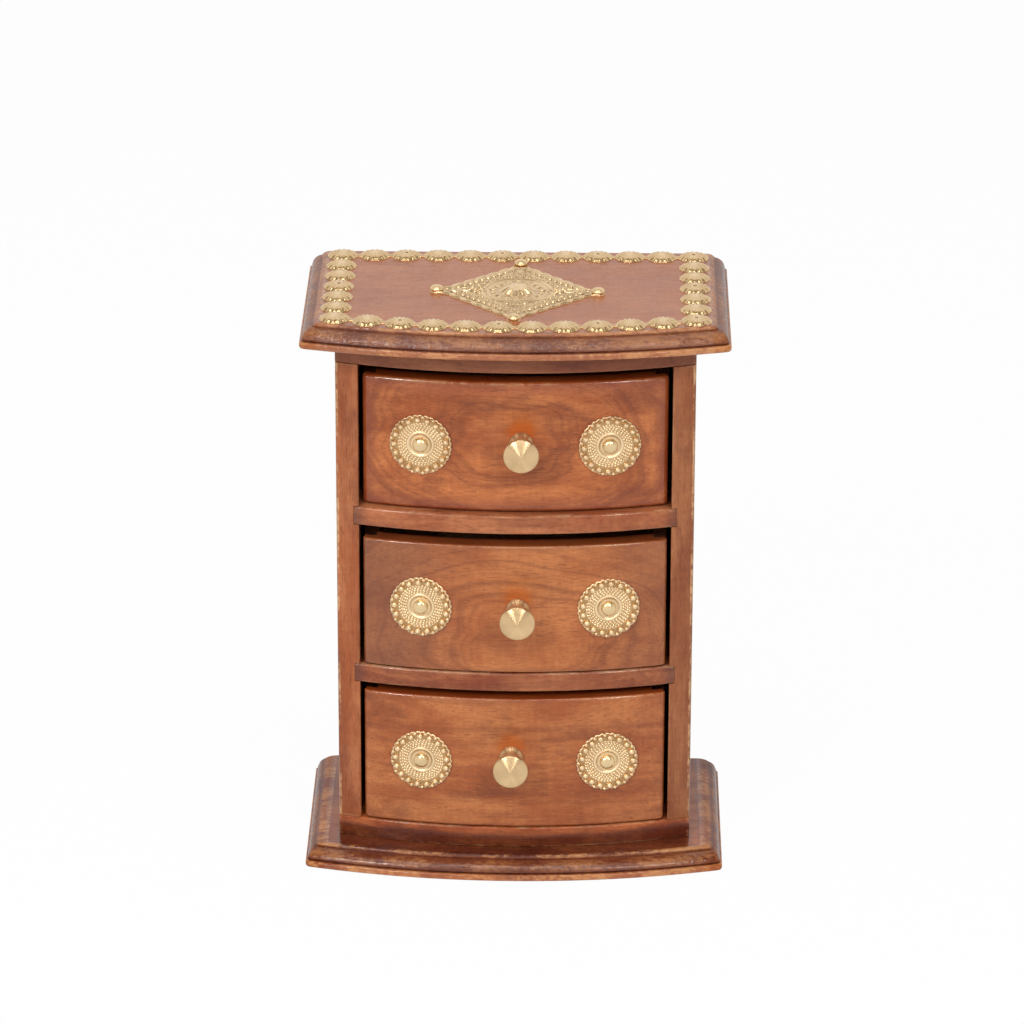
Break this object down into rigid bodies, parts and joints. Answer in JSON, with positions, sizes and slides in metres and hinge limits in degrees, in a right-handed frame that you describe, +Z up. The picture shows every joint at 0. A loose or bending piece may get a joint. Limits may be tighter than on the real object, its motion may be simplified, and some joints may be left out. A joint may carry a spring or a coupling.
{
  "type": "bow-front miniature drawer chest",
  "caption": "Small bow-fronted wooden chest with sliding drawers, turned brass knobs, stamped brass rosettes and brass edging, for paints, beads and small craft parts.",
  "frame": {"origin": "middle of the base board's underside, on the surface that the chest stands on", "axes": "+Z up, -Y towards the front, where the drawers pull out, +X to the right seen from the front"},
  "size_m": [0.127, 0.0784, 0.1773],
  "materials": {
    "case_wood": "orange-brown hardwood under worn gloss lacquer",
    "drawer_wood": "figured hardwood under gloss lacquer",
    "drawer_lining": "plain sanded hardwood",
    "stamped_brass": "stamped sheet, satin",
    "turned_brass": "lathe turned, satin with fine rings",
    "steel": "dull wire nail"
  },
  "bodies": {
    "chest": {"base_board": "case_wood", "carcass_bottom": "case_wood", "case_side_left": "case_wood", "case_side_right": "case_wood", "shelf_lower": "case_wood", "shelf_upper": "case_wood", "carcass_top": "case_wood", "back_panel": "case_wood", "top_board": "case_wood", "base_nails": "steel", "back_nails": "steel", "strip_front": "stamped_brass", "strip_back": "stamped_brass", "strip_left": "stamped_brass", "strip_right": "stamped_brass", "strip_nails": "stamped_brass", "medallion": "stamped_brass", "medallion_studs": "turned_brass"},
    "bottom_drawer": {"bottom_drawer_front": "drawer_wood", "bottom_drawer_side_left": "drawer_lining", "bottom_drawer_side_right": "drawer_lining", "bottom_drawer_back": "drawer_lining", "bottom_drawer_bottom": "drawer_lining", "bottom_knob": "turned_brass", "bottom_knob_screw": "steel", "bottom_rosette_left": "stamped_brass", "bottom_rosette_right": "stamped_brass", "bottom_rosette_pins": "turned_brass"},
    "middle_drawer": {"middle_drawer_front": "drawer_wood", "middle_drawer_side_left": "drawer_lining", "middle_drawer_side_right": "drawer_lining", "middle_drawer_back": "drawer_lining", "middle_drawer_bottom": "drawer_lining", "middle_knob": "turned_brass", "middle_knob_screw": "steel", "middle_rosette_left": "stamped_brass", "middle_rosette_right": "stamped_brass", "middle_rosette_pins": "turned_brass"},
    "top_drawer": {"top_drawer_front": "drawer_wood", "top_drawer_side_left": "drawer_lining", "top_drawer_side_right": "drawer_lining", "top_drawer_back": "drawer_lining", "top_drawer_bottom": "drawer_lining", "top_knob": "turned_brass", "top_knob_screw": "steel", "top_rosette_left": "stamped_brass", "top_rosette_right": "stamped_brass", "top_rosette_pins": "turned_brass"}
  },
  "joints": [
    {"name": "bottom_drawer_slide", "type": "slide", "parent": "chest", "child": "bottom_drawer", "axis": [0, -1, 0], "range_m": [0, 0.045]},
    {"name": "middle_drawer_slide", "type": "slide", "parent": "chest", "child": "middle_drawer", "axis": [0, -1, 0], "range_m": [0, 0.045]},
    {"name": "top_drawer_slide", "type": "slide", "parent": "chest", "child": "top_drawer", "axis": [0, -1, 0], "range_m": [0, 0.045]}
  ]
}
